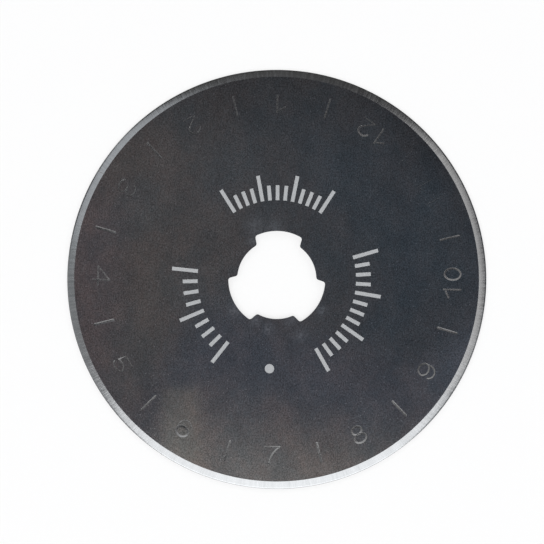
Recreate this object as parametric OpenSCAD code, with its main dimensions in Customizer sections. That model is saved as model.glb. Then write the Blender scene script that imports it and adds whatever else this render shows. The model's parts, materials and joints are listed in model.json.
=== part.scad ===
// Round blade for a rotary cutter: flat, with the hub axis along +Z and its underside on z = 0

/* [Blade] */
// Diameter over the cutting edge
blade_d = 45; // [44:0.5:50]
// Thickness of the steel strip
blade_t = 0.3; // [0.25:0.05:0.4]

/* [Cutting edge] */
// Width of the ground bevel on each face, seen face on
bevel_w = 0.78; // [0.6:0.02:1]
// Width of the honed strip at the outer end of the bevel
hone_w = 0.14; // [0.08:0.01:0.2]
// Slope of the honed strip against the face, in degrees
hone_slope = 15; // [12:1:18]
// Thickness left at the very edge
edge_t = 0.01; // [0.006:0.002:0.02]

/* [Hub hole] */
// Diameter across the three lands that sit on the hub
land_d = 8.5; // [8:0.1:9]
// Diameter across the notches
notch_d = 10.4; // [10:0.1:12]
// Number of notches
notch_count = 3; // [3:1:4]
// Width of a notch where it opens into the hole
notch_w = 4.6; // [3:0.1:4.8]
// Slope of a notch wall away from the notch's centre line, in degrees
notch_flare = 13; // [0:1:16]
// Radius in the two outer corners of a notch
notch_corner_r = 0.3; // [0.1:0.05:0.4]
// Radius on the corners of a land
land_corner_r = 0.3; // [0.1:0.05:0.4]

/* [Dial] */
// Radius of the circle that the numerals stand on, with their heads towards the hub
numeral_foot_r = 19.75; // [19:0.05:20]
// Height of a numeral, along the middle of its strokes
numeral_h = 1.8; // [1.6:0.1:2]
// Distance between the middles of the two digits of 10, 11 and 12
digit_pitch = 2.1; // [1.9:0.1:2.4]
// Radius where a tick starts
tick_inner_r = 17.95; // [17:0.05:18.2]
// Length of a tick
tick_l = 2.3; // [1.5:0.1:2.5]
// Width of a stamped stroke
stroke_w = 0.2; // [0.12:0.02:0.26]
// Depth of a stamped stroke
stroke_depth = 0.03; // [0.01:0.01:0.06]
// Turn of the dial from the notch that points along +Y, in degrees
dial_turn = 1; // [-5:0.5:5]

/* [Hidden] */

// Largest numeral on the dial
last_numeral = 12;
// Angle from one numeral to the next
numeral_step = 360 / last_numeral;
// Angle of the numeral 1 on the blade
first_angle = 90 + dial_turn;
// How far each numeral, and the tick after it, was struck from its even place, in degrees
numeral_turns = [0, 0, 0, 0, 0, -0.45, 0.3, -0.7, 0, 0, 0, -2.1];
tick_turns = [0, 0, 0.3, 0.4, 0.4, 0.4, 0.25, 0, -0.2, 0, 0, 0];

// Radii of the grind line and of the hone line
edge_r = blade_d / 2;
face_r = edge_r - bevel_w;
hone_r = edge_r - hone_w;
// Heights that one face loses on the way out to the edge
edge_drop = (blade_t - edge_t) / 2;
bevel_drop = edge_drop - hone_w * tan(hone_slope);

// Radii of the hub hole
land_r = land_d / 2;
notch_r = notch_d / 2;

// A stroke is drawn thin and then grown by this much on every side
stroke_core = stroke_w / 4;
stroke_growth = (stroke_w - stroke_core) / 2;
// How far a cut runs past the surface that it opens through
cut_past = 0.5;
// How far the round corner of a land starts inside the hole, so that the two outlines cross
corner_bite = 0.01;
// Straight steps in a digit's arc, in a notch's outer arc and in a notch's corner
digit_steps = 16;
notch_steps = 24;
corner_steps = 6;
$fn = 180;

// Points on an arc about c, from one angle to another
function arc(c, r, from, to, steps) =
    [for (i = [0:steps]) let (a = from + (to - from) * i / steps) c + r * [cos(a), sin(a)]];

// Half of the blade's section, from the hub axis out to the cutting edge
module section() {
    polygon([
        [0, 0],
        [face_r, 0],
        [hone_r, bevel_drop],
        [edge_r, edge_drop],
        [edge_r, blade_t - edge_drop],
        [hone_r, blade_t - bevel_drop],
        [face_r, blade_t],
        [0, blade_t]
    ]);
}

// Point at distance r from the hub axis, on the line that leaves start
function reach(start, along, r) =
    let (run = start * along, rest = start * start - r * r)
    start + (sqrt(run * run - rest) - run) * along;

// One notch about +Y: straight walls that lean outwards, rounded onto the lands and into the outer arc
module notch() {
    along = [sin(notch_flare), cos(notch_flare)];
    outward = [cos(notch_flare), -sin(notch_flare)];
    mouth = [notch_w / 2, sqrt(pow(land_r, 2) - pow(notch_w / 2, 2))];
    low = reach(mouth + land_corner_r * outward, along, land_r + land_corner_r - corner_bite);
    high = reach(mouth - notch_corner_r * outward, along, notch_r - notch_corner_r);
    low_turn = atan2(low.y, low.x) + 180;
    high_turn = atan2(high.y, high.x);
    right = concat(
        arc(low, land_corner_r, low_turn, 180 - notch_flare, corner_steps),
        arc(high, notch_corner_r, -notch_flare, high_turn, corner_steps)
    );
    left = [for (i = [len(right) - 1:-1:0]) [-right[i].x, right[i].y]];
    outer = arc([0, 0], notch_r, high_turn, 180 - high_turn, notch_steps);
    middle = [for (i = [1:notch_steps - 1]) outer[i]];
    polygon(concat(right, middle, left));
}

// Outline of the hub hole: a round hole with notches
module hub_hole() {
    circle(r = land_r);
    for (i = [0:notch_count - 1])
        rotate(i * 360 / notch_count) notch();
}

// Point on an oval, at an angle; half holds its half width and half height
function on_oval(c, half, a) = c + [half.x * cos(a), half.y * sin(a)];

// Thin straight stroke from one point to another, in units of the numeral's height
module straight(from, to) {
    span = (to - from) * numeral_h;
    translate(from * numeral_h)
        rotate(atan2(span.y, span.x))
            translate([0, -stroke_core / 2])
                square([norm(span), stroke_core]);
}

// Thin stroke along part of an oval, in units of the numeral's height
module bow(centre, half, from, to) {
    c = centre * numeral_h;
    grow = [stroke_core / 2, stroke_core / 2];
    angles = [for (i = [0:digit_steps]) from + (to - from) * i / digit_steps];
    outside = [for (i = [0:digit_steps]) on_oval(c, half * numeral_h + grow, angles[i])];
    inside = [for (i = [digit_steps:-1:0]) on_oval(c, half * numeral_h - grow, angles[i])];
    polygon(concat(outside, inside));
}

// Thin stroke all round an oval, in units of the numeral's height
module oval(centre, half) {
    bow(centre, half, 0, 180);
    bow(centre, half, 180, 360);
}

// Strokes of one digit, standing on the X axis and one numeral high
module digit_strokes(n) {
    if (n == 0) {
        oval([0, 0.5], [0.34, 0.48]);
    }
    if (n == 1) {
        straight([0.24, 0], [0.24, 1]);
        straight([0.12, 0.88], [-0.24, 0.7]);
    }
    if (n == 2) {
        head = [0, 0.73];
        head_half = [0.33, 0.27];
        bow(head, head_half, 165, -35);
        straight(on_oval(head, head_half, -35), [-0.37, 0.02]);
        straight([-0.37, 0.02], [0.4, 0.02]);
    }
    if (n == 3) {
        bow([0, 0.75], [0.34, 0.25], 165, -100);
        bow([0, 0.255], [0.38, 0.255], 100, -160);
    }
    if (n == 4) {
        straight([0.27, 0], [0.3, 1]);
        straight([0.3, 1], [-0.52, 0.31]);
        straight([-0.52, 0.31], [0.6, 0.31]);
    }
    if (n == 5) {
        belly = [0, 0.25];
        belly_half = [0.39, 0.25];
        straight([0.42, 0.92], [-0.27, 0.9]);
        straight([-0.27, 0.9], on_oval(belly, belly_half, 145));
        bow(belly, belly_half, 145, -155);
    }
    if (n == 6) {
        oval([0, 0.3], [0.367, 0.3]);
        bow([0, 0.6], [0.39, 0.4], 210, 25);
    }
    if (n == 7) {
        straight([-0.5, 0.98], [0.4, 1]);
        bow([1.175, -0.207], [1.433, 1.433], 122.7, 171.7);
    }
    if (n == 8) {
        oval([0, 0.765], [0.3, 0.235]);
        oval([0, 0.265], [0.37, 0.265]);
    }
    if (n == 9) {
        translate([0, numeral_h]) rotate(180) digit_strokes(6);
    }
}

// One digit at its full stroke width
module digit(n) {
    offset(delta = stroke_growth) digit_strokes(n);
}

// One or two digits, centred on the Y axis
module numeral(n) {
    if (n < 10) {
        digit(n);
    } else {
        translate([-digit_pitch / 2, 0]) digit(floor(n / 10));
        translate([digit_pitch / 2, 0]) digit(n % 10);
    }
}

// Numerals round the rim, with a tick halfway between each pair
module dial() {
    for (n = [1:last_numeral]) {
        angle = first_angle + (n - 1) * numeral_step;
        rotate(angle + 90 + numeral_turns[n - 1])
            translate([0, -numeral_foot_r])
                numeral(n);
        rotate(angle + numeral_step / 2 + tick_turns[n - 1])
            translate([tick_inner_r, -stroke_w / 2])
                square([tick_l, stroke_w]);
    }
}

module blade() {
    color([0.3, 0.3, 0.31]) difference() {
        rotate_extrude() section();
        translate([0, 0, -cut_past]) linear_extrude(blade_t + 2 * cut_past) hub_hole();
        translate([0, 0, blade_t - stroke_depth]) linear_extrude(stroke_depth + cut_past) dial();
    }
}

blade();
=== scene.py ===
"""A round steel blade for a rotary cutter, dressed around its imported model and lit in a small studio."""

import json
import logging
import math
from dataclasses import dataclass
from enum import Enum
from typing import Optional, Union

import bmesh
import bpy
from bmesh.types import BMEdge, BMesh, BMFace, BMVert
from bpy.types import Material, Node, NodeSocket as Socket, NodeTree, Object
from mathutils import Matrix, Quaternion, Vector

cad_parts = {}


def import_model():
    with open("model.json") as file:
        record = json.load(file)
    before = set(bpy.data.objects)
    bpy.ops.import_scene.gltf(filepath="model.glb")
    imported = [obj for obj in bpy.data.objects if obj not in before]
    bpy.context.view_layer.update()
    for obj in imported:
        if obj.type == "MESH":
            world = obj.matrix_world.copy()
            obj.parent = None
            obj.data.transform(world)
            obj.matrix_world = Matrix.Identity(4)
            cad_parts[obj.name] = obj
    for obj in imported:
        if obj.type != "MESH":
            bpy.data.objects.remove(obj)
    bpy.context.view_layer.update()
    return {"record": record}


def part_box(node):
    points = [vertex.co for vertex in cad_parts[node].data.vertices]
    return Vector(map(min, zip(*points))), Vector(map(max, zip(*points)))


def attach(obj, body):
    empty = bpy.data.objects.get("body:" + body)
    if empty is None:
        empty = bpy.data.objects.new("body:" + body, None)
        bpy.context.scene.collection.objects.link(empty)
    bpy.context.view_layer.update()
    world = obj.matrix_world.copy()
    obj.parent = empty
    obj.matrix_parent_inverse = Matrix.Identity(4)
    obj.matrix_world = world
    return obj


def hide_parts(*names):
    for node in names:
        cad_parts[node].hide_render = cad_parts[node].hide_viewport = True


LOG = logging.getLogger("rotary_blade")

# Metres in a millimetre
MM = 0.001
# The image is square, and this many pixels across
IMAGE_SIDE = 544
UP = Vector((0, 0, 1))

Input = Union[float, tuple, Socket]
Pair = tuple[float, float]
Triple = tuple[float, float, float]
Colour = Triple


class Zone(Enum):
    """Finishes of the blade, in the order of its material slots."""

    FACE = 0
    BEVEL = 1
    HONE = 2
    # The fine edge line: its dark colour is partly the steel's own and partly painted shadow along the rim
    EDGE = 3
    WALL = 4
    STAMP = 5
    ETCH = 6


class Blend(Enum):
    """Ways to lay one colour over another."""

    COVER = "MIX"
    TINT = "MULTIPLY"


class Sketch:
    """Lays out the shader nodes of one material or world."""

    def __init__(self, tree: NodeTree) -> None:
        """Starts on an empty node tree.

        Args:
            tree: The tree to fill. Whatever it holds is cleared.
        """
        self.tree = tree
        tree.nodes.clear()

    def node(self, kind: str, feeds: Optional[dict] = None, **settings: object) -> Node:
        """Adds a node.

        Args:
            kind: The node's type, such as ShaderNodeMath.
            feeds: What its inputs get, by their names or numbers.
            **settings: Properties of the node.

        Returns:
            The new node.
        """
        made = self.tree.nodes.new(kind)
        for name, value in settings.items():
            setattr(made, name, value)
        for key, value in (feeds or {}).items():
            self.feed(made.inputs[key], value)
        return made

    def feed(self, socket: Socket, value: Input) -> None:
        """Links an output to an input, or sets the input's own value.

        Args:
            socket: The input.
            value: Another node's output, or a plain value.
        """
        if isinstance(value, Socket):
            self.tree.links.new(value, socket)
        elif socket.type == "RGBA":
            socket.default_value = (*value, 1.0)
        else:
            socket.default_value = value

    def math(self, operation: str, first: Input, second: Input) -> Socket:
        """Works on two numbers, by the operation of a Math node."""
        return self.node("ShaderNodeMath", {0: first, 1: second}, operation=operation).outputs[0]

    def vector(self, operation: str, first: Input, second: Input = (0, 0, 0)) -> Socket:
        """Works on one or two vectors, by the operation of a Vector Math node."""
        made = self.node("ShaderNodeVectorMath", {0: first, 1: second}, operation=operation)
        return made.outputs["Value" if operation in ("LENGTH", "DISTANCE", "DOT_PRODUCT") else "Vector"]

    def joined(self, first: Input, second: Input, third: Input) -> Socket:
        """Joins three numbers into a vector."""
        return self.node("ShaderNodeCombineXYZ", {0: first, 1: second, 2: third}).outputs[0]

    def parts(self, vector: Socket) -> list[Socket]:
        """Splits a vector into its three numbers."""
        return list(self.node("ShaderNodeSeparateXYZ", {0: vector}).outputs)

    def millimetres(self) -> Socket:
        """Gives the point on the piece in millimetres."""
        place = self.node("ShaderNodeTexCoord").outputs["Object"]
        return self.vector("MULTIPLY", place, (1 / MM,) * 3)

    def noise(
        self,
        place: Socket,
        per_mm: Triple,
        detail: float = 3.0,
        roughness: float = 0.55,
        warp: float = 0.0,
    ) -> Socket:
        """Gives soft noise.

        Args:
            place: The point in millimetres.
            per_mm: Grains in a millimetre along each axis.
            detail: Number of finer octaves.
            roughness: Weight of the finer octaves.
            warp: How far the noise is bent by itself.

        Returns:
            A number about 0.5.
        """
        feeds = {
            "Vector": self.vector("MULTIPLY", place, per_mm),
            "Scale": 1.0,
            "Detail": detail,
            "Roughness": roughness,
            "Distortion": warp,
        }
        return self.node("ShaderNodeTexNoise", feeds, noise_dimensions="3D").outputs["Fac"]

    def span(
        self,
        value: Input,
        low: float,
        high: float,
        to_low: float = 0.0,
        to_high: float = 1.0,
    ) -> Socket:
        """Carries one range of numbers softly onto another, held at its ends.

        Args:
            value: The number.
            low: Where the range starts.
            high: Where the range ends.
            to_low: Result at the start.
            to_high: Result at the end.

        Returns:
            The result.
        """
        feeds = dict(enumerate((value, low, high, to_low, to_high)))
        return self.node("ShaderNodeMapRange", feeds, interpolation_type="SMOOTHSTEP").outputs[0]

    def swing(self, noise: Socket, least: float = 0.0, most: float = 1.0, reach: float = 0.2) -> Socket:
        """Carries noise onto a range, whose ends it meets this far below and above 0.5."""
        return self.span(noise, 0.5 - reach, 0.5 + reach, least, most)

    def mix(self, share: Input, first: Input, second: Input, blend: Blend = Blend.COVER) -> Socket:
        """Mixes two colours.

        Args:
            share: How much of the second colour is taken.
            first: First colour.
            second: Second colour.
            blend: How the second is laid over the first.

        Returns:
            The mixed colour.
        """
        made = self.node("ShaderNodeMix", {"Factor": share}, data_type="RGBA", blend_type=blend.value)
        colours = [s for s in made.inputs if s.type == "RGBA"]
        for socket, colour in zip(colours, (first, second)):
            self.feed(socket, colour)
        return [s for s in made.outputs if s.type == "RGBA"][0]

    def shaded(self, colour: Input, shade: Socket) -> Socket:
        """Multiplies a colour by a number."""
        return self.mix(1.0, colour, self.joined(shade, shade, shade), Blend.TINT)

    def bump(self, height: Socket, depth: float) -> Socket:
        """Turns a height into a bumped normal, where a height of 1 is this deep, in metres."""
        feeds = {"Strength": 1.0, "Distance": depth, "Height": height}
        return self.node("ShaderNodeBump", feeds).outputs["Normal"]

    def shader(
        self,
        metallic: float,
        colour: Input,
        rough: Input,
        normal: Optional[Socket] = None,
    ) -> Socket:
        """Adds one principled shader.

        Args:
            metallic: 1 for bare metal, 0 for a matt surface.
            colour: Base colour.
            rough: Roughness.
            normal: Bumped normal, if there is one.

        Returns:
            The shader.
        """
        feeds = {"Metallic": metallic, "Base Color": colour, "Roughness": rough}
        if normal is not None:
            feeds["Normal"] = normal
        return self.node("ShaderNodeBsdfPrincipled", feeds).outputs[0]

    def surface(self, shader: Socket) -> None:
        """Ends the material in a shader."""
        self.node("ShaderNodeOutputMaterial", {"Surface": shader})


def new_material(name: str) -> tuple[Material, Sketch]:
    """Makes an empty node material.

    Args:
        name: The material's name.

    Returns:
        The material and the sketch that fills it.
    """
    material = bpy.data.materials.new(name)
    material.use_nodes = True
    return material, Sketch(material.node_tree)


def polar(radius: float, degrees: float) -> Vector:
    """Gives the point at a radius and an angle in the XY plane."""
    turn = math.radians(degrees)
    return Vector((radius * math.cos(turn), radius * math.sin(turn), 0))


def about_hub(degrees: float) -> Matrix:
    """Gives a turn about the hub axis."""
    return Matrix.Rotation(math.radians(degrees), 4, "Z")


@dataclass(frozen=True)
class Rub:
    """A spot where the face is rubbed lighter. Sizes are in millimetres, the angle in degrees."""

    angle: float
    radius: float
    size: float


@dataclass(frozen=True)
class LappedSteel:
    """The flat faces: dark lapped steel, clouded and finely speckled, rubbed by the hub and scratched.

    A grain is the number of spots in a millimetre along each axis. A shade is the least and the most
    that a pattern does to the tone.
    """

    name: str = "lapped_steel"
    cool: Colour = (0.253, 0.275, 0.285)
    warm: Colour = (0.277, 0.271, 0.267)
    fleck: Colour = (1.04, 0.98, 0.965)
    rubbed: Colour = (0.5, 0.51, 0.52)
    roughness: Pair = (0.033, 0.06)
    worn_roughness: float = 0.1
    tint_reach: float = 0.14
    cloud_grain: Triple = (0.17, 0.13, 0.17)
    fleck_grain: Triple = (1.9, 1.5, 1.9)
    blotch_grain: Triple = (0.34, 0.26, 0.34)
    blotch_shade: Pair = (0.9, 1.1)
    mottle_grain: Triple = (9.5, 6.5, 9.5)
    mottle_shade: Pair = (0.55, 1.45)
    mottle_share: float = 0.8
    lapping_grain: Triple = (16.0, 0.9, 16.0)
    lapping_shade: Pair = (-0.1, 0.1)
    lapping_depth: float = 0.00000015
    rub_grain: Triple = (4.0, 4.0, 4.0)
    rub_range: Pair = (0.3, 0.72)
    rubs: tuple[Rub, ...] = (
        Rub(95.5, 5.6, 1.4),
        Rub(115.0, 6.2, 1.8),
        Rub(125.0, 4.9, 0.9),
        Rub(218.5, 5.6, 1.4),
        Rub(244.5, 4.9, 1.1),
        Rub(263.5, 5.4, 1.1),
        Rub(291.5, 4.5, 1.1),
        Rub(295.0, 6.5, 1.2),
        Rub(328.0, 5.8, 1.0),
    )
    specks_per_mm: float = 2.5
    speck_range: Pair = (0.1, 0.2)
    speck_share: float = 0.2
    speck_wear: float = 0.8
    scratch_turns: tuple[float, ...] = (12.0, 68.0, -35.0)
    scratch_spacing: float = 17.0
    scratch_grain: Triple = (7.0, 0.11, 1.0)
    scratch_range: Pair = (0.76, 0.79)
    scratch_wear: float = 0.3

    def build(self) -> Material:
        """Makes the material.

        Returns:
            The material.
        """
        material, sketch = new_material(self.name)
        place = sketch.millimetres()
        clouds = sketch.noise(place, self.cloud_grain, detail=4.0)
        flecks = sketch.noise(place, self.fleck_grain, roughness=0.7)
        blotches = sketch.noise(place, self.blotch_grain, detail=4.0, roughness=0.6)
        mottle = sketch.noise(place, self.mottle_grain, detail=2.0, roughness=0.6)
        lapping = sketch.noise(place, self.lapping_grain, roughness=0.6)
        tint = sketch.mix(sketch.swing(clouds, reach=self.tint_reach), self.cool, self.warm)
        tint = sketch.mix(sketch.swing(flecks, reach=self.tint_reach), tint, self.fleck, Blend.TINT)
        speckle = sketch.swing(mottle, *self.mottle_shade, reach=0.25)
        speckle = sketch.math("ADD", speckle, sketch.swing(lapping, *self.lapping_shade))
        shade = sketch.math("MULTIPLY", speckle, sketch.swing(blotches, *self.blotch_shade))
        wear = sketch.math("MAXIMUM", self.hub_rubs(sketch, place), self.scratches(sketch, place))
        wear = sketch.math("MAXIMUM", wear, self.specks(sketch, place))
        colour = sketch.mix(wear, sketch.shaded(tint, shade), self.rubbed)
        rough = sketch.swing(mottle, *self.roughness)
        rough = sketch.math("ADD", rough, sketch.math("MULTIPLY", wear, self.worn_roughness))
        height = sketch.math("ADD", lapping, sketch.math("MULTIPLY", mottle, self.mottle_share))
        normal = sketch.bump(height, self.lapping_depth)
        sketch.surface(sketch.shader(1.0, colour, rough, normal))
        return material

    def hub_rubs(self, sketch: Sketch, place: Socket) -> Socket:
        """Marks where a hub has rubbed, close round the hole.

        Args:
            sketch: The material's sketch.
            place: The point in millimetres.

        Returns:
            How rubbed the point is, from 0 to 1.
        """
        flat = sketch.vector("MULTIPLY", place, (1, 1, 0))
        total: Input = 0.0
        for rub in self.rubs:
            away = sketch.vector("DISTANCE", flat, tuple(polar(rub.radius, rub.angle)))
            total = sketch.math("MAXIMUM", total, sketch.span(away, 0.0, rub.size, 1.0, 0.0))
        patches = sketch.noise(place, self.rub_grain, detail=4.0, roughness=0.7)
        return sketch.math("MULTIPLY", total, sketch.span(patches, *self.rub_range))

    def specks(self, sketch: Sketch, place: Socket) -> Socket:
        """Marks sparse bright specks.

        Args:
            sketch: The material's sketch.
            place: The point in millimetres.

        Returns:
            How bright the speck at the point is, from 0 to 1.
        """
        feeds = {"Vector": place, "Scale": self.specks_per_mm}
        cells = sketch.node("ShaderNodeTexVoronoi", feeds, feature="F1", voronoi_dimensions="2D")
        chance = sketch.parts(cells.outputs["Color"])[0]
        near = sketch.span(cells.outputs["Distance"], *self.speck_range, 1.0, 0.0)
        picked = sketch.span(chance, 1.0 - self.speck_share, 1.0, 0.0, self.speck_wear)
        return sketch.math("MULTIPLY", near, picked)

    def scratches(self, sketch: Sketch, place: Socket) -> Socket:
        """Marks sparse hairline scratches that run in a few directions.

        Args:
            sketch: The material's sketch.
            place: The point in millimetres.

        Returns:
            How scratched the point is, from 0 to 1.
        """
        total: Input = 0.0
        for number, turn in enumerate(self.scratch_turns):
            aside = self.scratch_spacing * number
            feeds = {"Vector": place, "Location": (aside, aside, 0), "Rotation": (0, 0, math.radians(turn))}
            turned = sketch.node("ShaderNodeMapping", feeds, vector_type="POINT")
            drawn = sketch.noise(turned.outputs[0], self.scratch_grain, detail=1.0, warp=0.15)
            wear = sketch.span(drawn, *self.scratch_range, 0.0, self.scratch_wear)
            total = sketch.math("MAXIMUM", total, wear)
        return total


@dataclass(frozen=True)
class GroundSteel:
    """A surface ground across the rim: bright steel with fine streaks that run out to the edge.

    The streaks are uneven in tone by the share given here, and by more at the angles where the grind is
    coarse. Depths are in metres, other sizes in millimetres, angles in degrees.
    """

    name: str
    colour: Colour
    roughness: Pair
    uneven: float = 0.08
    streaks_per_mm: float = 6.0
    streak_depth: float = 0.000005
    streak_drift: float = 0.08
    broad_per_mm: float = 1.6
    broad_shade: Pair = (0.96, 1.04)
    rim_r: float = 22.0
    coarser: float = 2.2
    coarse_at: tuple[float, ...] = (0.0, 131.0)
    coarse_range: Pair = (0.3, 0.7)

    def build(self) -> Material:
        """Makes the material.

        Returns:
            The material.
        """
        material, sketch = new_material(self.name)
        flat = sketch.vector("MULTIPLY", sketch.millimetres(), (1, 1, 0))
        outward = sketch.vector("NORMALIZE", flat)
        drift = sketch.math("MULTIPLY", sketch.vector("LENGTH", flat), self.streak_drift)
        around = sketch.vector("MULTIPLY", outward, (self.rim_r,) * 3)
        around = sketch.vector("ADD", around, sketch.joined(0.0, 0.0, drift))
        streaks = sketch.noise(around, (self.streaks_per_mm,) * 3, detail=2.0, roughness=0.6)
        broad = sketch.noise(around, (self.broad_per_mm, self.broad_per_mm, 0.0), detail=2.0)
        coarse: Input = 1.0
        for angle in self.coarse_at:
            away = sketch.vector("DISTANCE", outward, tuple(polar(1.0, angle)))
            local = sketch.span(away, *self.coarse_range, self.coarser, 1.0)
            coarse = sketch.math("MAXIMUM", coarse, local)
        ripple = sketch.swing(streaks, -self.uneven, self.uneven, reach=0.25)
        ripple = sketch.math("MULTIPLY", ripple, coarse)
        shade = sketch.math("ADD", sketch.swing(broad, *self.broad_shade), ripple)
        rough = sketch.swing(streaks, *self.roughness)
        normal = sketch.bump(streaks, self.streak_depth)
        sketch.surface(sketch.shader(1.0, sketch.shaded(self.colour, shade), rough, normal))
        return material


@dataclass(frozen=True)
class ShearedSteel:
    """The wall of the punched hub hole and the walls of the stamped strokes."""

    name: str
    colour: Colour
    roughness: Pair
    metallic: float = 1.0
    grain: Triple = (9.0, 9.0, 1.5)
    shade: Pair = (0.8, 1.2)
    shade_reach: float = 0.2
    depth: float = 0.0000015

    def build(self) -> Material:
        """Makes the material.

        Returns:
            The material.
        """
        material, sketch = new_material(self.name)
        grain = sketch.noise(sketch.millimetres(), self.grain, detail=4.0, roughness=0.6)
        shade = sketch.swing(grain, *self.shade, reach=self.shade_reach)
        colour = sketch.shaded(self.colour, shade)
        rough = sketch.swing(grain, *self.roughness)
        normal = sketch.bump(grain, self.depth)
        sketch.surface(sketch.shader(self.metallic, colour, rough, normal))
        return material


@dataclass(frozen=True)
class EtchedSteel(ShearedSteel):
    """A light etched mark: steel frosted until it is matt."""

    name: str = "etched_mark"
    colour: Colour = (0.42, 0.43, 0.44)
    roughness: Pair = (0.57, 0.7)
    metallic: float = 0.0
    grain: Triple = (11.0, 11.0, 11.0)
    shade: Pair = (0.9, 1.1)
    shade_reach: float = 0.25
    depth: float = 0.0000012


def verts_in(geometry: list) -> list[BMVert]:
    """Picks the vertices out of what an operator made."""
    return [item for item in geometry if isinstance(item, BMVert)]


class Pen:
    """Draws an outline of edges in the XY plane, one stroke after another."""

    def __init__(self, mesh: BMesh, start: Vector) -> None:
        """Puts the pen down.

        Args:
            mesh: The mesh to draw in.
            start: First point.
        """
        self.mesh = mesh
        self.tip = mesh.verts.new(start)

    def line(self, to: Vector) -> None:
        """Draws straight to a point.

        Args:
            to: The point.
        """
        moved = bmesh.ops.extrude_vert_indiv(self.mesh, verts=[self.tip])["verts"]
        bmesh.ops.translate(self.mesh, verts=moved, vec=to - self.tip.co)
        self.tip = moved[0]

    def arc(self, centre: Vector, degrees: float, steps: int) -> None:
        """Draws an arc.

        Args:
            centre: The arc's centre.
            degrees: How far it turns, anticlockwise where positive.
            steps: Number of straight steps.
        """
        turned = bmesh.ops.spin(self.mesh, geom=[self.tip], cent=centre, axis=UP,
                                angle=math.radians(degrees), steps=steps)
        self.tip = verts_in(turned["geom_last"])[0]


def raise_faces(mesh: BMesh, height: float) -> None:
    """Makes a flat mesh into a closed block.

    Args:
        mesh: A mesh with nothing but flat faces in it.
        height: How far the block stands up.
    """
    lifted = bmesh.ops.extrude_face_region(mesh, geom=mesh.faces[:], use_keep_orig=True)["geom"]
    bmesh.ops.translate(mesh, verts=verts_in(lifted), vec=UP * height)
    bmesh.ops.recalc_face_normals(mesh, faces=mesh.faces[:])


def new_object(name: str, mesh: BMesh, *materials: Material) -> Object:
    """Makes an object and puts it in the scene.

    Args:
        name: The object's name.
        mesh: Its shape. It is freed.
        *materials: Its finishes, in the order of its material slots.

    Returns:
        The object.
    """
    data = bpy.data.meshes.new(name)
    mesh.to_mesh(data)
    mesh.free()
    for material in materials:
        data.materials.append(material)
    made = bpy.data.objects.new(name, data)
    bpy.context.scene.collection.objects.link(made)
    return made


@dataclass
class HubHole:
    """The hole for the hub: three lands and three notches. Sizes are in millimetres, angles in degrees."""

    land_r: float
    notch_r: float = 5.2
    notch_w: float = 4.6
    flare: float = 13.0
    corner_r: float = 0.3
    notches: int = 3
    corner_steps: int = 10
    arc_steps: int = 48
    weld: float = 0.0005

    def reach(self, start: Vector, along: Vector, radius: float) -> Vector:
        """Gives the point of a line that is at a radius from the hub axis.

        Args:
            start: Where the line starts.
            along: Its direction, of length 1.
            radius: Distance from the axis.

        Returns:
            The point.
        """
        run = start.dot(along)
        rest = start.dot(start) - radius * radius
        return start + along * (math.sqrt(run * run - rest) - run)

    def outline(self, mesh: BMesh) -> None:
        """Draws the hole's outline, anticlockwise.

        Args:
            mesh: The mesh to draw in.
        """
        lean = math.radians(self.flare)
        along = Vector((math.sin(lean), math.cos(lean), 0))
        outward = Vector((math.cos(lean), -math.sin(lean), 0))
        half = self.notch_w / 2
        mouth = Vector((half, math.sqrt(self.land_r ** 2 - half ** 2), 0))
        low = self.reach(mouth + outward * self.corner_r, along, self.land_r + self.corner_r)
        high = self.reach(mouth - outward * self.corner_r, along, self.notch_r - self.corner_r)
        low_turn = math.degrees(math.atan2(low.y, low.x))
        high_turn = math.degrees(math.atan2(high.y, high.x))
        mirror = Matrix.Scale(-1, 4, (1, 0, 0))
        pen = Pen(mesh, polar(self.land_r, low_turn))
        for number in range(self.notches):
            place = about_hub(360 * number / self.notches)
            pen.arc(place @ low, -(low_turn + self.flare), self.corner_steps)
            pen.line(place @ (high + outward * self.corner_r))
            pen.arc(place @ high, high_turn + self.flare, self.corner_steps)
            pen.arc(Vector(), 180 - 2 * high_turn, self.arc_steps)
            pen.arc(place @ mirror @ high, high_turn + self.flare, self.corner_steps)
            pen.line(place @ mirror @ (low - outward * self.corner_r))
            pen.arc(place @ mirror @ low, -(low_turn + self.flare), self.corner_steps)
            pen.arc(Vector(), 360 / self.notches - (180 - 2 * low_turn), self.arc_steps)

    def cutter(self, thickness: float, material: Material) -> Object:
        """Makes the punch that cuts the hole.

        Args:
            thickness: Thickness of the blade.
            material: Finish of the hole's wall.

        Returns:
            The punch.
        """
        mesh = bmesh.new()
        self.outline(mesh)
        bmesh.ops.remove_doubles(mesh, verts=mesh.verts[:], dist=self.weld)
        bmesh.ops.contextual_create(mesh, geom=mesh.edges[:])
        bmesh.ops.translate(mesh, verts=mesh.verts[:], vec=-UP * thickness)
        raise_faces(mesh, 3 * thickness)
        return new_object("hub_punch", mesh, material)


@dataclass(frozen=True)
class Straight:
    """A straight stroke of a digit, in units of the digit's height. Its two walls are alike."""

    start: Pair
    end: Pair
    weight: float = 1.0
    bend: int = 0

    def path(self) -> list[Vector]:
        """Gives the points along the stroke."""
        return [Vector((*self.start, 0)), Vector((*self.end, 0))]


@dataclass(frozen=True)
class Bow:
    """A stroke along part of an oval, in units of the digit's height. Angles are in degrees.

    Its inner wall is the wider one where lean is 1, and its outer wall where lean is -1.
    """

    centre: Pair
    half: Pair
    begin: float
    finish: float
    weight: float = 1.0
    lean: int = 1
    steps: int = 28

    @property
    def bend(self) -> int:
        """Side of the stroke's wider wall: 1 for the left, -1 for the right."""
        return self.lean if self.finish > self.begin else -self.lean

    def point(self, degrees: float) -> Pair:
        """Gives the point of the oval at an angle."""
        spot = polar(1.0, degrees)
        return self.centre[0] + self.half[0] * spot.x, self.centre[1] + self.half[1] * spot.y

    def path(self) -> list[Vector]:
        """Gives the points along the stroke."""
        step = (self.finish - self.begin) / self.steps
        return [Vector((*self.point(self.begin + step * i), 0)) for i in range(self.steps + 1)]


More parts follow.
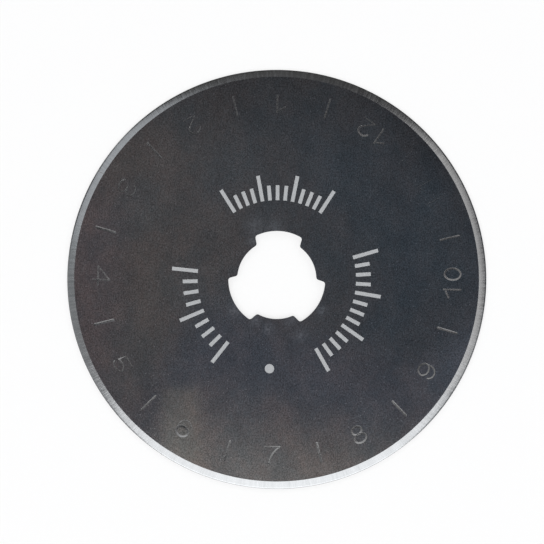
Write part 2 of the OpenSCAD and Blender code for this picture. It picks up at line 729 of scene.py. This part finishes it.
Stroke = Union[Straight, Bow]


@dataclass(frozen=True)
class Groove:
    """A stroke in its place on the blade.

    Attributes:
        path: Points along its middle, in millimetres.
        bend: Side of its wider wall.
        press: How hard it was struck.
        breadth: How broad its punch was.
    """

    path: list[Vector]
    bend: int
    press: float
    breadth: float


def oval(centre: Pair, half: Pair) -> tuple[Bow, Bow]:
    """Gives the two halves of a closed oval stroke."""
    return Bow(centre, half, 0, 180), Bow(centre, half, 180, 360)


TWO_HEAD = Bow((0, 0.73), (0.33, 0.27), 165, -35, 1.1)
FIVE_BELLY = Bow((0, 0.25), (0.39, 0.25), 145, -155)

# Strokes of each digit, which stands on y = 0 and is one unit high
DIGITS: dict[int, tuple[Stroke, ...]] = {
    0: oval((0, 0.5), (0.34, 0.48)),
    1: (Straight((0.24, 0), (0.24, 1)), Straight((0.12, 0.88), (-0.24, 0.7))),
    2: (
        TWO_HEAD,
        Straight(TWO_HEAD.point(TWO_HEAD.finish), (-0.37, 0.02), 0.4),
        Straight((-0.37, 0.02), (0.4, 0.02), 0.3),
    ),
    3: (Bow((0, 0.75), (0.34, 0.25), 165, -100), Bow((0, 0.255), (0.38, 0.255), 100, -160)),
    4: (
        Straight((0.27, 0), (0.28, 0.31), 0.4),
        Straight((0.28, 0.31), (0.3, 1), 1.5),
        Straight((0.3, 1), (-0.52, 0.31), 0.8),
        Straight((-0.52, 0.31), (0.6, 0.31), 0.9),
    ),
    5: (
        Straight((0.42, 0.92), (-0.27, 0.9), 0.5),
        Straight((-0.27, 0.9), FIVE_BELLY.point(FIVE_BELLY.begin), 0.35),
        FIVE_BELLY,
    ),
    6: (*oval((0, 0.3), (0.367, 0.3)), Bow((0, 0.6), (0.39, 0.4), 210, 25, 0.1)),
    7: (
        Straight((-0.5, 0.98), (0.4, 1), 0.35),
        Bow((1.175, -0.207), (1.433, 1.433), 122.7, 171.7, 0.5, -1),
    ),
    8: (*oval((0, 0.765), (0.3, 0.235)), *oval((0, 0.265), (0.37, 0.265))),
    9: (*oval((0, 0.7), (0.367, 0.3)), Bow((0, 0.4), (0.39, 0.4), 30, -155)),
}


@dataclass(frozen=True)
class Strike:
    """How a numeral or tick was struck: how hard, how many degrees from its even place, and how broad."""

    press: float
    shift: float = 0.0
    breadth: float = 1.0


@dataclass
class Dial:
    """Numerals and ticks stamped round the rim. Sizes are in millimetres, angles in degrees.

    The deepest line of a curved stroke lies off its middle by the lopsided share of half its width. A
    stroke that was struck harder is deeper, and wider by the power given as spread.
    """

    foot_r: float = 19.75
    height: float = 1.8
    digit_pitch: float = 2.1
    tick_r: float = 17.95
    tick_l: float = 2.3
    stroke_w: float = 0.24
    wall_slope: float = 10.5
    lopsided: float = 0.7
    spread: float = 0.35
    turn: float = 1.0
    cap_rings: int = 5
    numerals: tuple[Strike, ...] = (
        Strike(0.45),
        Strike(0.26),
        Strike(0.16),
        Strike(0.46),
        Strike(0.25),
        Strike(0.48, -0.45, 1.35),
        Strike(0.9, 0.3),
        Strike(0.4, -0.7, 1.3),
        Strike(0.36),
        Strike(0.52),
        Strike(0.002),
        Strike(0.42, -2.1),
    )
    ticks: tuple[Strike, ...] = (
        Strike(0.45),
        Strike(0.7),
        Strike(1.3, 0.3),
        Strike(1.3, 0.4),
        Strike(0.78, 0.4),
        Strike(0.75, 0.4),
        Strike(1.0, 0.25),
        Strike(1.0),
        Strike(1.05, -0.2),
        Strike(0.7),
        Strike(0.002),
        Strike(0.45),
    )

    def layers(self) -> list[list[Groove]]:
        """Sorts the strokes of the dial, so that no two of one layer cross.

        Returns:
            Layers of strokes in the XY plane.
        """
        made: list[list[Groove]] = [[] for _ in range(max(len(strokes) for strokes in DIGITS.values()))]
        step = 360 / len(self.numerals)
        cap = self.stroke_w / 2
        tick_ends = (self.tick_r + cap, self.tick_r + self.tick_l - cap)
        for place_number, (numeral, tick) in enumerate(zip(self.numerals, self.ticks)):
            angle = 90 + self.turn + place_number * step
            digits = [int(c) for c in str(place_number + 1)]
            turn = about_hub(angle + 90 + numeral.shift)
            for index, digit in enumerate(digits):
                aside = (index - (len(digits) - 1) / 2) * self.digit_pitch
                place = turn @ Matrix.Translation((aside, -self.foot_r, 0)) @ Matrix.Scale(self.height, 4)
                for layer, stroke in zip(made, DIGITS[digit]):
                    points = [place @ point for point in stroke.path()]
                    press = numeral.press * stroke.weight
                    layer.append(Groove(points, stroke.bend, press, numeral.breadth))
            middle = angle + step / 2 + tick.shift
            points = [polar(radius, middle) for radius in tick_ends]
            made[0].append(Groove(points, 0, tick.press, tick.breadth))
        return made

    def profile(self, bend: int) -> list[Vector]:
        """Gives the corners of the punch's edge, whose walls run on as far above the steel as into it.

        Args:
            bend: 1 for a stroke with its wider wall on the left, -1 on the right, 0 for equal walls.

        Returns:
            Bottom and two upper corners, with x into the steel from its face and y to the stroke's left.
        """
        half = self.stroke_w / 2
        aside = bend * self.lopsided * half
        depth = (half + abs(aside)) * math.tan(math.radians(self.wall_slope))
        bottom = Vector((depth, -aside, 0))
        return [bottom, Vector((0, half, 0)) * 2 - bottom, Vector((0, -half, 0)) * 2 - bottom]

    def frames(self, groove: Groove, thickness: float) -> list[Matrix]:
        """Gives the places of the punch's edge along a stroke, with a round end at both ends.

        Args:
            groove: The stroke.
            thickness: Thickness of the blade.

        Returns:
            One place per section of the groove.
        """
        path = groove.path
        wide = groove.breadth * groove.press ** self.spread
        deep = groove.breadth * groove.press
        last = len(path) - 1
        headings = [(path[min(i + 1, last)] - path[max(i - 1, 0)]).normalized() for i in range(last + 1)]
        leads = [90 * i / self.cap_rings for i in range(1, self.cap_rings)]
        stops = [(path[0], headings[0], -lead) for lead in reversed(leads)]
        stops += [(point, heading, 0.0) for point, heading in zip(path, headings)]
        stops += [(path[-1], headings[-1], lead) for lead in leads]
        upright = Matrix.Rotation(math.pi / 2, 4, "Y")
        made = []
        for point, heading, lead in stops:
            turn = math.radians(lead)
            centre = point + heading * wide * self.stroke_w / 2 * math.sin(turn) + UP * thickness
            onward = Matrix.Rotation(math.atan2(heading.y, heading.x), 4, "Z")
            size = Matrix.Diagonal((deep * (1 - abs(math.sin(turn))), wide * math.cos(turn), 1, 1))
            made.append(Matrix.Translation(centre) @ onward @ upright @ size)
        return made

    def sweep(self, mesh: BMesh, groove: Groove, thickness: float) -> None:
        """Draws the punch's edge along a stroke.

        Args:
            mesh: The mesh to draw in.
            groove: The stroke.
            thickness: Thickness of the blade.
        """
        frames = self.frames(groove, thickness)
        corners = [mesh.verts.new(frames[0] @ corner) for corner in self.profile(groove.bend)]
        edges = mesh.faces.new(corners).edges[:]
        for before, after in zip(frames, frames[1:]):
            drawn = bmesh.ops.extrude_edge_only(mesh, edges=edges)["geom"]
            verts = verts_in(drawn)
            bmesh.ops.transform(mesh, matrix=after @ before.inverted(), verts=verts)
            fresh = set(verts)
            edges = [g for g in drawn if isinstance(g, BMEdge) and fresh.issuperset(g.verts)]
        bmesh.ops.contextual_create(mesh, geom=edges)

    def cutters(self, thickness: float, material: Material) -> list[Object]:
        """Makes the punches that stamp the dial.

        Args:
            thickness: Thickness of the blade.
            material: Finish of the stamped strokes.

        Returns:
            One punch per layer of strokes.
        """
        made = []
        for layer in self.layers():
            mesh = bmesh.new()
            for groove in layer:
                self.sweep(mesh, groove, thickness)
            bmesh.ops.recalc_face_normals(mesh, faces=mesh.faces[:])
            made.append(new_object("dial_punch", mesh, material))
        return made


@dataclass(frozen=True)
class ScaleArc:
    """One arc of plain graduations, from one angle to another, in degrees."""

    begin: float
    finish: float
    divisions: int


@dataclass
class EtchedMarks:
    """A dot and three arcs of plain graduations, etched round the hub. Sizes are in millimetres."""

    dot_d: float = 1.0
    dot_r: float = 9.61
    dot_angle: float = -92.2
    dot_steps: int = 64
    inner_r: float = 8.5
    long_r: float = 11.3
    short_r: float = 10.1
    stroke_w: float = 0.4
    long_every: int = 4
    depth: float = 0.006
    arcs: tuple[ScaleArc, ...] = (
        ScaleArc(59.5, 124.5, 12),
        ScaleArc(-58.0, 18.5, 12),
        ScaleArc(176.5, 234.5, 8),
    )

    def scale(self, mesh: BMesh, arc: ScaleArc) -> None:
        """Draws one arc of graduations as radial bars.

        Args:
            mesh: The mesh to draw in.
            arc: The arc.
        """
        step = (arc.finish - arc.begin) / arc.divisions
        for index in range(arc.divisions + 1):
            outer_r = self.short_r if index % self.long_every else self.long_r
            turn = about_hub(arc.begin + index * step)
            place = turn @ Matrix.Translation(((self.inner_r + outer_r) / 2, 0, 0))
            shape = Matrix.Diagonal((outer_r - self.inner_r, self.stroke_w, 1, 1))
            bmesh.ops.create_grid(mesh, x_segments=1, y_segments=1, size=0.5, matrix=place @ shape)

    def cutter(self, thickness: float, material: Material) -> Object:
        """Makes the mask that etches every mark.

        Args:
            thickness: Thickness of the blade.
            material: Finish of the marks.

        Returns:
            The mask.
        """
        mesh = bmesh.new()
        place = Matrix.Translation(polar(self.dot_r, self.dot_angle))
        bmesh.ops.create_circle(mesh, cap_ends=True, segments=self.dot_steps, radius=self.dot_d / 2,
                                matrix=place)
        for arc in self.arcs:
            self.scale(mesh, arc)
        bmesh.ops.translate(mesh, verts=mesh.verts[:], vec=UP * (thickness - self.depth))
        raise_faces(mesh, thickness)
        return new_object("etch_mask", mesh, material)


@dataclass(frozen=True)
class Nick:
    """A small dent across the ground bevel. Sizes are in millimetres, angles in degrees."""

    angle: float = 151.2
    radius: float = 0.09
    depth: float = 0.022
    length: float = 0.7
    sides: int = 24

    def cutter(self, start: Vector, end: Vector, material: Material) -> Object:
        """Makes the round bar that leaves the dent.

        Args:
            start: Radius and height of the bevel's inner line.
            end: Radius and height of its outer line.
            material: Finish of the dent.

        Returns:
            The bar.
        """
        mesh = bmesh.new()
        middle = (start + end) / 2
        slope = math.degrees(math.atan2(start.y - end.y, end.x - start.x))
        place = (
            about_hub(self.angle)
            @ Matrix.Translation((middle.x, 0, middle.y))
            @ Matrix.Rotation(math.radians(90 + slope), 4, "Y")
            @ Matrix.Translation((self.depth - self.radius, 0, 0))
        )
        bmesh.ops.create_cone(mesh, cap_ends=True, segments=self.sides, radius1=self.radius,
                              radius2=self.radius, depth=self.length, matrix=place)
        return new_object("nick_bar", mesh, material)


@dataclass
class Blade:
    """The whole blade. Sizes are in millimetres, angles in degrees.

    The honed strip ends in a fine line, dark partly as steel and partly as painted shadow along the rim, and
    the bevel swells a little between its two lines by its crown.
    The grind lines lie off the hub axis by a small shift, in the direction of its turn.
    """

    edge_r: float
    thickness: float
    hub: HubHole
    dial: Dial
    marks: EtchedMarks
    nick: Nick
    bevel_w: float = 0.78
    hone_w: float = 0.14
    line_w: float = 0.034
    hone_slope: float = 15.0
    edge_t: float = 0.01
    crown: float = 0.18
    grind_shift: float = 0.04
    grind_turn: float = 127.0
    bevel_steps: int = 4
    rolled_r: float = 0.05
    rolled_steps: int = 3
    crease_angle: float = 30.0
    segments: int = 720

    def finishes(self) -> list[Material]:
        """Makes the blade's materials, in the order of the zones.

        Returns:
            One material per zone.
        """
        stamp_grain = (6.0, 6.0, 6.0)
        made = {
            Zone.FACE: LappedSteel(),
            Zone.BEVEL: GroundSteel("ground_bevel", (0.435, 0.44, 0.445), (0.15, 0.26)),
            Zone.HONE: GroundSteel("honed_edge", (0.51, 0.515, 0.52), (0.11, 0.22), uneven=0.06),
            # The cutting edge's dark colour is partly its own and partly painted shadow, the thin shadow
            # line along the rim
            Zone.EDGE: GroundSteel("cutting_edge_painted_shadow", (0.15, 0.15, 0.15), (0.25, 0.36), uneven=0.04),
            Zone.WALL: ShearedSteel("punched_wall", (0.16, 0.16, 0.16), (0.28, 0.42)),
            Zone.STAMP: ShearedSteel("stamped_stroke", (0.2, 0.2, 0.2), (0.22, 0.36), grain=stamp_grain),
            Zone.ETCH: EtchedSteel(),
        }
        return [made[zone].build() for zone in Zone]

    def section(self) -> list[Pair]:
        """Gives the rim's section from the upper grind line to the lower one.

        Returns:
            Pairs of radius and height.
        """
        edge_drop = (self.thickness - self.edge_t) / 2
        hone_fall = math.tan(math.radians(self.hone_slope))
        bevel_drop = edge_drop - self.hone_w * hone_fall
        grind_r = self.edge_r - self.bevel_w
        lower = []
        for step in range(self.bevel_steps + 1):
            share = step / self.bevel_steps
            swell = self.crown * share * (share - 1)
            lower.append((grind_r + (self.bevel_w - self.hone_w) * share, bevel_drop * (share + swell)))
        lower.append((self.edge_r - self.line_w, edge_drop - self.line_w * hone_fall))
        lower.append((self.edge_r, edge_drop))
        upper = [(radius, self.thickness - height) for radius, height in lower]
        return upper + lower[::-1]

    def turned(self) -> BMesh:
        """Spins the section round the hub axis and closes both faces.

        Returns:
            The disc, before anything is cut in it.
        """
        mesh = bmesh.new()
        points = [mesh.verts.new((radius, 0, height)) for radius, height in self.section()]
        for first, second in zip(points, points[1:]):
            mesh.edges.new((first, second))
        bmesh.ops.spin(mesh, geom=mesh.verts[:] + mesh.edges[:], cent=(0, 0, 0), axis=UP,
                       angle=math.tau, steps=self.segments, use_merge=True)
        self.shift_grind(mesh)
        for height in (0.0, self.thickness):
            level = {v for v in mesh.verts if abs(v.co.z - height) < self.edge_t}
            rim = [e for e in mesh.edges if e.is_boundary and level.issuperset(e.verts)]
            bmesh.ops.contextual_create(mesh, geom=rim)
        bmesh.ops.recalc_face_normals(mesh, faces=mesh.faces[:])
        for face in mesh.faces:
            face.material_index = self.zone(face).value
        return mesh

    def shift_grind(self, mesh: BMesh) -> None:
        """Moves the grind lines a little off the hub axis, which leaves the bevels wider on one side.

        Args:
            mesh: The turned rim.
        """
        for step, (radius, _) in enumerate(self.section()[:self.bevel_steps]):
            ring = [v for v in mesh.verts if abs(v.co.xy.length - radius) < self.edge_t / 2]
            share = 1 - step / self.bevel_steps
            bmesh.ops.translate(mesh, verts=ring, vec=polar(self.grind_shift * share, self.grind_turn))

    def zone(self, face: BMFace) -> Zone:
        """Tells which finish a face of the turned disc has.

        Args:
            face: The face.

        Returns:
            Its zone.
        """
        if len(face.verts) > 4:
            return Zone.FACE
        inward = self.edge_r - face.calc_center_median().xy.length
        if inward < self.line_w:
            return Zone.EDGE
        return Zone.HONE if inward < self.hone_w else Zone.BEVEL

    def carved(self, finishes: list[Material]) -> BMesh:
        """Cuts the hub hole, the dial, the etched marks and the nick.

        Args:
            finishes: The blade's materials.

        Returns:
            The cut disc.
        """
        disc = new_object("disc", self.turned(), *finishes)
        section = [Vector(point) for point in self.section()]
        cutters = [
            self.hub.cutter(self.thickness, finishes[Zone.WALL.value]),
            *self.dial.cutters(self.thickness, finishes[Zone.STAMP.value]),
            self.marks.cutter(self.thickness, finishes[Zone.ETCH.value]),
            self.nick.cutter(section[0], section[self.bevel_steps], finishes[Zone.BEVEL.value]),
        ]
        for cutter in cutters:
            cut = disc.modifiers.new(cutter.name, "BOOLEAN")
            cut.operation = "DIFFERENCE"
            cut.solver = "MANIFOLD"
            cut.material_mode = "TRANSFER"
            cut.object = cutter
        graph = bpy.context.evaluated_depsgraph_get()
        result = disc.evaluated_get(graph).to_mesh()
        mesh = bmesh.new()
        mesh.from_mesh(result)
        for passing in (disc, *cutters):
            data = passing.data
            bpy.data.objects.remove(passing)
            bpy.data.meshes.remove(data)
        return mesh

    def roll_hub_edges(self, mesh: BMesh) -> None:
        """Rounds the hub hole's two rims, as punching leaves them.

        Args:
            mesh: The cut disc.
        """
        pair = {Zone.FACE.value, Zone.WALL.value}
        rims = [e for e in mesh.edges if {f.material_index for f in e.link_faces} == pair]
        rolled = bmesh.ops.bevel(mesh, geom=rims, offset=self.rolled_r, offset_type="OFFSET",
                                 segments=self.rolled_steps, profile=0.5, affect="EDGES", material=-1,
                                 clamp_overlap=True)
        for face in rolled["faces"]:
            face.material_index = Zone.WALL.value

    def crease(self, mesh: BMesh) -> None:
        """Shades the mesh smooth, apart from sharp edges and the lines where one finish meets another.

        Args:
            mesh: The finished shape.
        """
        for face in mesh.faces:
            face.smooth = True
        for edge in mesh.edges:
            zones = {f.material_index for f in edge.link_faces}
            sharp = edge.calc_face_angle(math.pi) >= math.radians(self.crease_angle)
            edge.smooth = len(zones) == 1 and not sharp

    def build(self) -> None:
        """Makes the blade, dresses it and puts it on its body."""
        finishes = self.finishes()
        mesh = self.carved(finishes)
        self.roll_hub_edges(mesh)
        self.crease(mesh)
        bmesh.ops.scale(mesh, vec=(MM,) * 3, verts=mesh.verts[:])
        blade = new_object("round_blade", mesh, *finishes)
        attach(blade, "root")
        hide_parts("blade")
        LOG.info("round_blade: %d faces", len(blade.data.polygons))


@dataclass(frozen=True)
class Softbox:
    """One soft light: where it hangs, how large it is, how bright, and whether the steel mirrors it.

    Sizes are in metres, angles in degrees.
    """

    name: str
    off_axis: float
    azimuth: float
    distance: float
    width: float
    height: float
    brightness: float
    tint: Colour = (1.0, 1.0, 1.0)
    roll: float = 0.0
    mirrored: bool = True

    def build(self) -> None:
        """Hangs the light so that it faces the blade."""
        lamp = bpy.data.lights.new(self.name, "AREA")
        lamp.shape = "RECTANGLE"
        lamp.size = self.width
        lamp.size_y = self.height
        lamp.energy = self.brightness * math.pi * self.width * self.height
        lamp.color = self.tint
        made = bpy.data.objects.new(self.name, lamp)
        lean = math.radians(self.off_axis)
        away = polar(math.sin(lean), self.azimuth) + UP * math.cos(lean)
        made.location = away * self.distance
        facing = away.to_track_quat("Z", "Y") @ Quaternion((0, 0, 1), math.radians(self.roll))
        made.rotation_euler = facing.to_euler()
        made.visible_glossy = self.mirrored
        bpy.context.scene.collection.objects.link(made)


# Ways over the ceiling: to the right, to the back, and to the back from its bent front line
RIGHTWARD = (1.0, 0.0, 0.0)
BACKWARD = (0.0, 1.0, 0.0)
FROM_FRONT = (0.0, 0.0, 1.0)


@dataclass(frozen=True)
class Fade:
    """A soft line over the ceiling. Places on it are tangents of the angle from straight up.

    Attributes:
        way: Which way over the ceiling the fade runs.
        start: Where it starts.
        end: Where it ends.
        least: Its result at the start.
        most: Its result at the end.
    """

    way: Triple
    start: float
    end: float
    least: float = 0.0
    most: float = 1.0

    def share(self, sketch: Sketch, spot: Socket) -> Socket:
        """Gives the fade's result at a spot, which is a place along each of the three ways."""
        place = sketch.vector("DOT_PRODUCT", spot, self.way)
        return sketch.span(place, self.start, self.end, self.least, self.most)


@dataclass(frozen=True)
class CeilingPatch:
    """A patch of the ceiling: its colour, the fades that bound it, and whether it is only overhead."""

    name: str
    colour: Colour
    fades: tuple[Fade, ...]
    overhead: bool = False
    blend: Blend = Blend.COVER


@dataclass
class Studio:
    """Floor, lights, sky and camera. Sizes are in metres, angles in degrees."""

    blade_px: float = 209.5
    centre_px: Pair = (276.8, 279.4)
    roll: float = 2.5
    lens: float = 100.0
    sensor: float = 36.0
    clip_start: float = 0.001
    floor_half: float = 2.0
    floor_gap: float = 0.00002
    floor_colour: Colour = (0.97, 0.97, 0.97)
    floor_roughness: float = 0.9
    floor_glow: Colour = (0.99, 0.99, 0.99)
    glow_share: float = 0.72
    horizon: Colour = (1.3, 1.3, 1.3)
    horizon_rise: Pair = (12.0, 40.0)
    overhead_lean: Pair = (24.0, 15.0)
    least_upward: float = 0.05
    ceiling: Colour = (0.236, 0.222, 0.224)
    front_bends: tuple[Fade, ...] = (
        Fade(RIGHTWARD, -0.05, 0.12, 0.0, 0.02),
        Fade(RIGHTWARD, -0.055, -0.085, 0.0, 0.03),
    )
    patches: tuple[CeilingPatch, ...] = (
        CeilingPatch("right", (0.121, 0.1435, 0.175), (Fade((1.0, 0.2, 0.0), -0.14, 0.12),)),
        CeilingPatch("far_left", (0.318, 0.337, 0.345), (Fade(RIGHTWARD, -0.25, -0.45),)),
        CeilingPatch("back", (0.11, 0.113, 0.124), (Fade(BACKWARD, 0.06, 0.15),)),
        CeilingPatch("back_right", (0.088, 0.09, 0.1), (Fade((1.0, 1.0, 0.0), 0.15, 0.2),)),
        CeilingPatch("far_back", (0.075, 0.074, 0.073), (Fade(BACKWARD, 0.2, 0.6),)),
        CeilingPatch(
            "front_right",
            (0.183, 0.193, 0.233),
            (Fade((0.3, 1.0, 0.0), -0.01, -0.055), Fade((1.0, -0.68, 0.0), -0.05, 0.0)),
            overhead=True,
        ),
        CeilingPatch(
            "right_corner",
            (0.213, 0.227, 0.273),
            (Fade((1.0, -1.0, 0.0), 0.145, 0.185), Fade(BACKWARD, -0.09, -0.065)),
            overhead=True,
        ),
        CeilingPatch(
            "front",
            (0.352, 0.36, 0.37),
            (Fade(BACKWARD, -0.09, -0.16), Fade(RIGHTWARD, 0.15, 0.45, 1.0, 0.65)),
        ),
        CeilingPatch("front_glow", (0.508, 0.5, 0.497), (Fade(FROM_FRONT, -0.056, -0.17),), overhead=True),
        CeilingPatch(
            "warm_front",
            (1.035, 0.978, 0.955),
            (Fade(FROM_FRONT, -0.064, -0.09), Fade(RIGHTWARD, 0.07, 0.03)),
            overhead=True,
            blend=Blend.TINT,
        ),
        CeilingPatch(
            "rosy_left",
            (1.02, 0.955, 1.01),
            (Fade(RIGHTWARD, -0.08, -0.12), Fade(BACKWARD, 0.07, 0.03)),
            overhead=True,
            blend=Blend.TINT,
        ),
    )
    lights: tuple[Softbox, ...] = (
        Softbox("front_softbox", 40.0, 273.5, 0.6, 0.53, 0.53, 1.65, (0.985, 1.0, 1.015)),
        Softbox("left_softbox", 26.5, 147.0, 0.6, 0.22, 0.21, 0.7, (0.96, 1.0, 1.04), 25.0),
        Softbox("back_fill", 27.0, 103.0, 0.6, 0.22, 0.1, 0.055),
        Softbox("right_softbox", 22.0, 8.0, 0.6, 0.37, 0.15, 0.83, (1.02, 1.0, 0.975)),
        Softbox("back_strip", 66.0, 92.5, 0.8, 0.9, 0.25, 2.3, mirrored=False),
        Softbox("left_strip", 54.0, 187.5, 0.8, 0.9, 0.25, 2.3, mirrored=False),
        Softbox("right_strip", 66.0, 2.5, 0.8, 0.9, 0.25, 2.3, mirrored=False),
        Softbox("warm_card", 8.9, 242.8, 0.6, 0.018, 0.046, 0.13, (1.0, 0.86, 0.6), 31.2),
    )

    def camera(self, edge_r: float, edge_height: float) -> None:
        """Sets the camera straight above, at the distance and offset of the photograph.

        Args:
            edge_r: Radius of the blade, in metres.
            edge_height: Height of the cutting edge, in metres.
        """
        per_px = edge_r / self.blade_px
        across = per_px * IMAGE_SIDE
        data = bpy.data.cameras.new("camera")
        data.lens = self.lens
        data.sensor_width = self.sensor
        data.clip_start = self.clip_start
        made = bpy.data.objects.new("camera", data)
        turn = about_hub(self.roll)
        aside = Vector((IMAGE_SIDE / 2 - self.centre_px[0], self.centre_px[1] - IMAGE_SIDE / 2, 0)) * per_px
        made.location = turn @ aside + UP * (edge_height + across * self.lens / self.sensor)
        made.rotation_euler = turn.to_euler()
        bpy.context.scene.collection.objects.link(made)
        bpy.context.scene.camera = made

    def floor(self) -> None:
        """Lays a plain pale floor just under the blade."""
        mesh = bmesh.new()
        bmesh.ops.create_grid(mesh, x_segments=1, y_segments=1, size=self.floor_half)
        bmesh.ops.translate(mesh, verts=mesh.verts[:], vec=-UP * self.floor_gap)
        material, sketch = new_material("pale_floor")
        path = sketch.node("ShaderNodeLightPath")
        seen = sketch.math("MAXIMUM", path.outputs["Is Camera Ray"], path.outputs["Is Glossy Ray"])
        seen = sketch.math("MAXIMUM", seen, path.outputs["Is Transmission Ray"])
        share = sketch.math("MULTIPLY", seen, self.glow_share)
        paint = sketch.shader(0.0, self.floor_colour, self.floor_roughness)
        glow = sketch.node("ShaderNodeEmission", {"Color": self.floor_glow}).outputs[0]
        sketch.surface(sketch.node("ShaderNodeMixShader", {0: share, 1: paint, 2: glow}).outputs[0])
        made = new_object("floor", mesh, material)

    def sky(self) -> None:
        """Surrounds the floor with a pale horizon under a dim ceiling, which is lighter in front."""
        world = bpy.data.worlds.new("studio")
        world.use_nodes = True
        bpy.context.scene.world = world
        sketch = Sketch(world.node_tree)
        right, back, up = sketch.parts(sketch.node("ShaderNodeTexCoord").outputs["Generated"])
        upward = sketch.math("MAXIMUM", up, self.least_upward)
        across = sketch.math("DIVIDE", right, upward)
        along = sketch.math("DIVIDE", back, upward)
        flat = sketch.joined(across, along, 0.0)
        front = along
        for bend in self.front_bends:
            front = sketch.math("ADD", front, bend.share(sketch, flat))
        spot = sketch.joined(across, along, front)
        overhead = sketch.span(upward, *(math.cos(math.radians(lean)) for lean in self.overhead_lean))
        ceiling: Input = self.ceiling
        for patch in self.patches:
            share: Input = overhead if patch.overhead else 1.0
            for fade in patch.fades:
                share = sketch.math("MULTIPLY", share, fade.share(sketch, spot))
            ceiling = sketch.mix(share, ceiling, patch.colour, patch.blend)
            ceiling.node.label = patch.name
        risen = sketch.span(upward, *(math.sin(math.radians(rise)) for rise in self.horizon_rise))
        background = sketch.node("ShaderNodeBackground", {"Color": sketch.mix(risen, self.horizon, ceiling)})
        sketch.node("ShaderNodeOutputWorld", {"Surface": background.outputs[0]})

    def build(self, blade: Blade) -> None:
        """Sets up the whole studio.

        Args:
            blade: The blade that it shows.
        """
        bpy.context.scene.view_settings.view_transform = "Standard"
        self.camera(blade.edge_r * MM, blade.thickness * MM / 2)
        self.floor()
        self.sky()
        for light in self.lights:
            light.build()
        LOG.info("studio: %d lights", len(self.lights))


def main() -> None:
    """Loads the frame, then builds the blade and the studio."""
    logging.basicConfig(level=logging.INFO, format="%(name)s: %(message)s")
    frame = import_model()
    low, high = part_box("blade")
    mounts = {mount["name"]: mount for mount in frame["record"]["mounts"]}
    blade = Blade(
        edge_r=max(*high.xy, *(-low.xy)) / MM,
        thickness=high.z / MM,
        hub=HubHole(land_r=mounts["hub_hole"]["dims"]["r_mm"]),
        dial=Dial(),
        marks=EtchedMarks(),
        nick=Nick(),
    )
    blade.build()
    Studio().build(blade)


if __name__ == "__main__":
    main()
